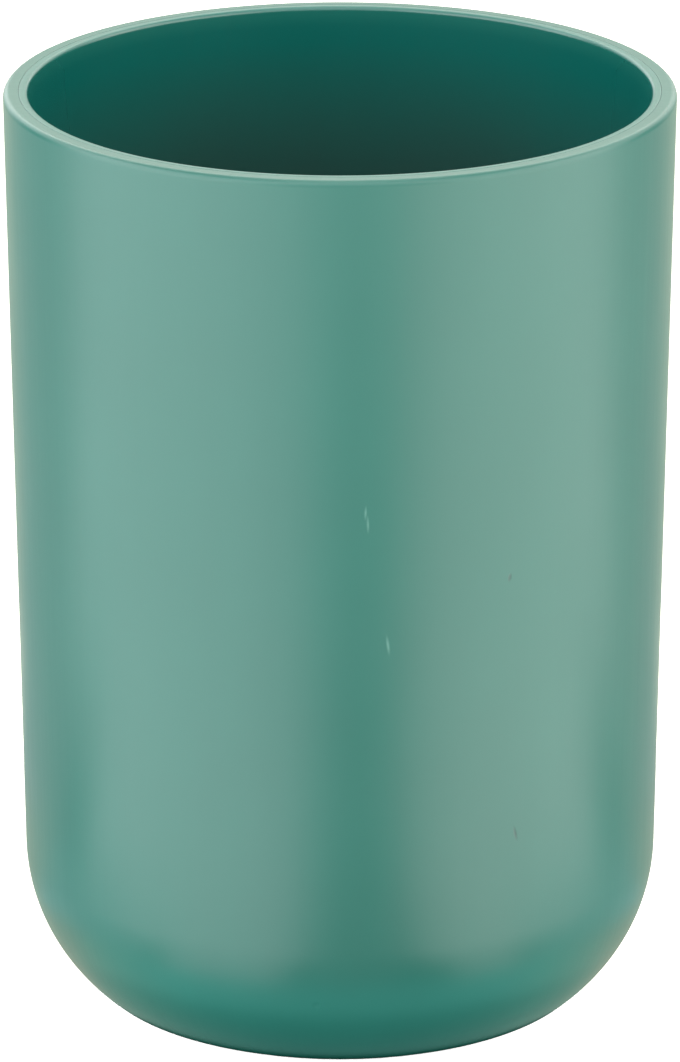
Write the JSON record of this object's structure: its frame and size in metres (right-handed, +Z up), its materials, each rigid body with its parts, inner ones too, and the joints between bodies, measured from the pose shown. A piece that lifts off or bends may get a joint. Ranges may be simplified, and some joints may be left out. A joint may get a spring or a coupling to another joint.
{
  "type": "bathroom tumbler",
  "caption": "Round double-walled tumbler with a slight flare, a large rounded bottom edge and a soft foot ring, for rinsing or for holding toothbrushes.",
  "frame": {"origin": "on the table, in the middle of the foot ring", "axes": "+Z up along the axis of the cup, towards the mouth; +Y away from the picture's viewer, +X to the viewer's right"},
  "size_m": [0.073, 0.073, 0.103],
  "materials": {
    "shell_plastic": "satin sea green",
    "liner_plastic": "satin sea green",
    "foot_rubber": "matte dark green"
  },
  "bodies": {
    "root": {"outer_shell": "shell_plastic", "inner_liner": "liner_plastic", "foot_ring": "foot_rubber"}
  },
  "joints": []
}
